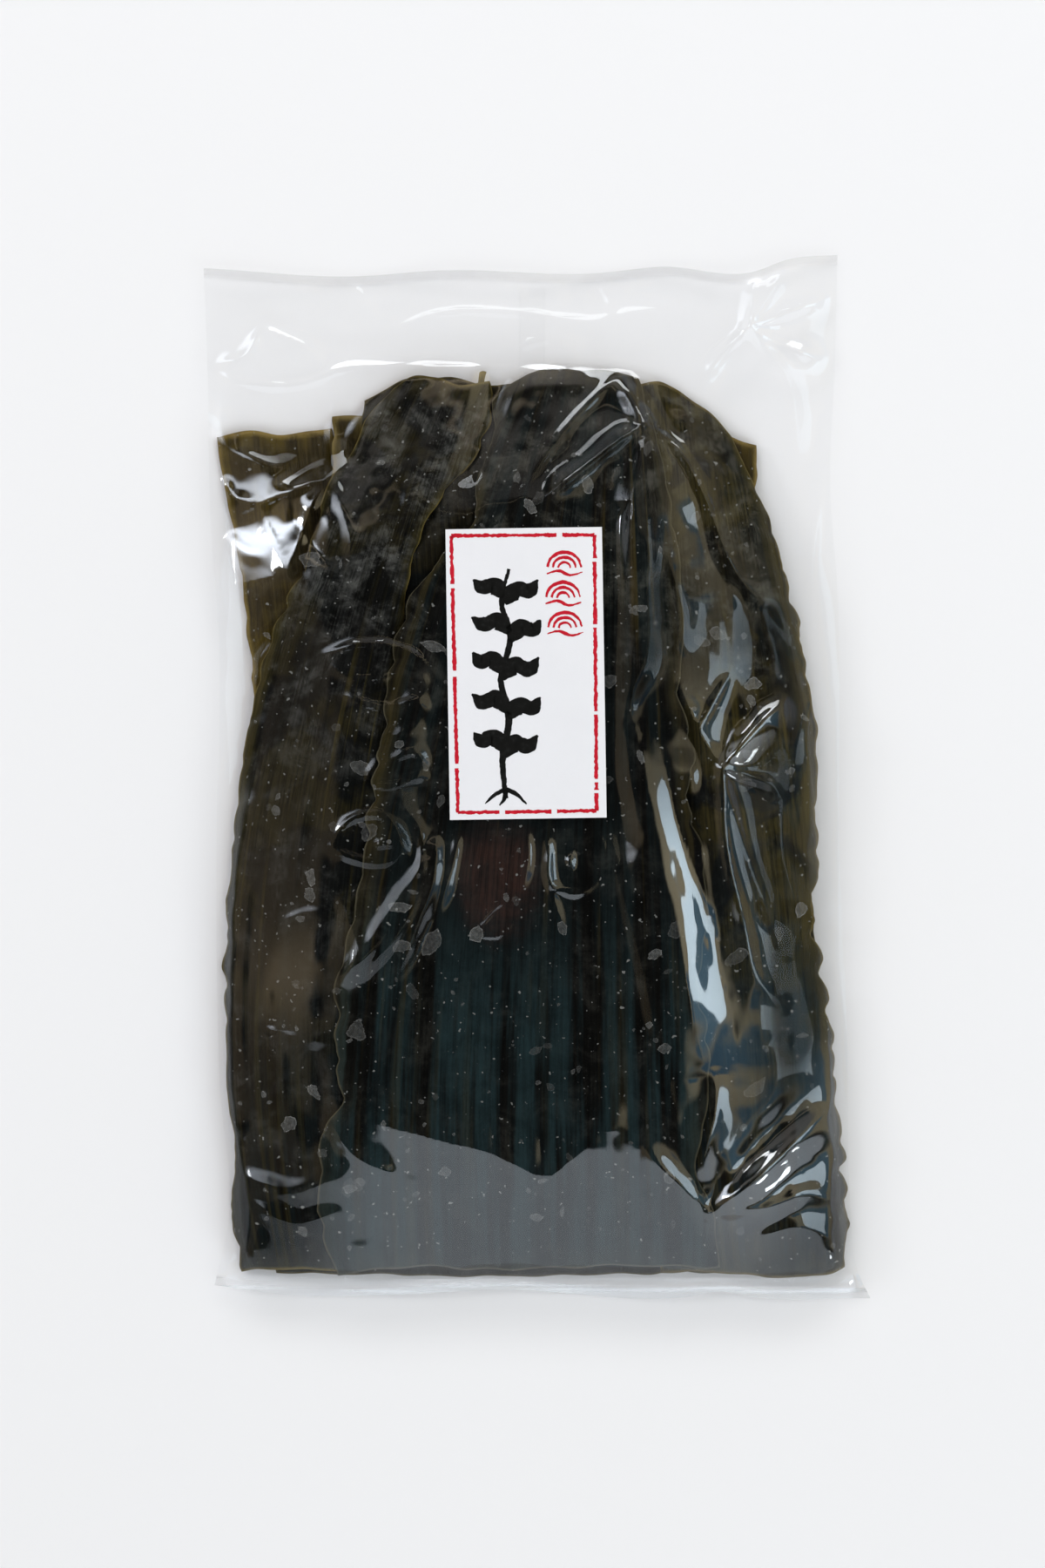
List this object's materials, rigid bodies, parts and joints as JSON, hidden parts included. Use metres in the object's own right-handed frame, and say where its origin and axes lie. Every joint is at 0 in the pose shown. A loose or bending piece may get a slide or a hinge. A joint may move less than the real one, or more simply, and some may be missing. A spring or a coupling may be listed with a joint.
{
  "type": "clear sealed bag of dried kelp",
  "caption": "Sealed clear film bag of overlapping dried kelp blades with a paper label on its front, lying flat on its back.",
  "frame": {"origin": "on the surface the bag lies on, under the middle of its box", "axes": "+Y towards the top seal, +X to the right as the label is seen, +Z out of the label's face"},
  "size_m": [0.2151, 0.3373, 0.0263],
  "materials": {
    "clear_film": "thin glossy clear film, close over dark olive brown dried kelp",
    "label_paper": "white coated paper with a red border and brushed ink marks",
    "dried_kelp": "leathery dark olive brown, amber at thin ruffled edges, with lengthwise pleats"
  },
  "bodies": {
    "root": {"bag": "clear_film", "label": "label_paper"}
  },
  "joints": []
}
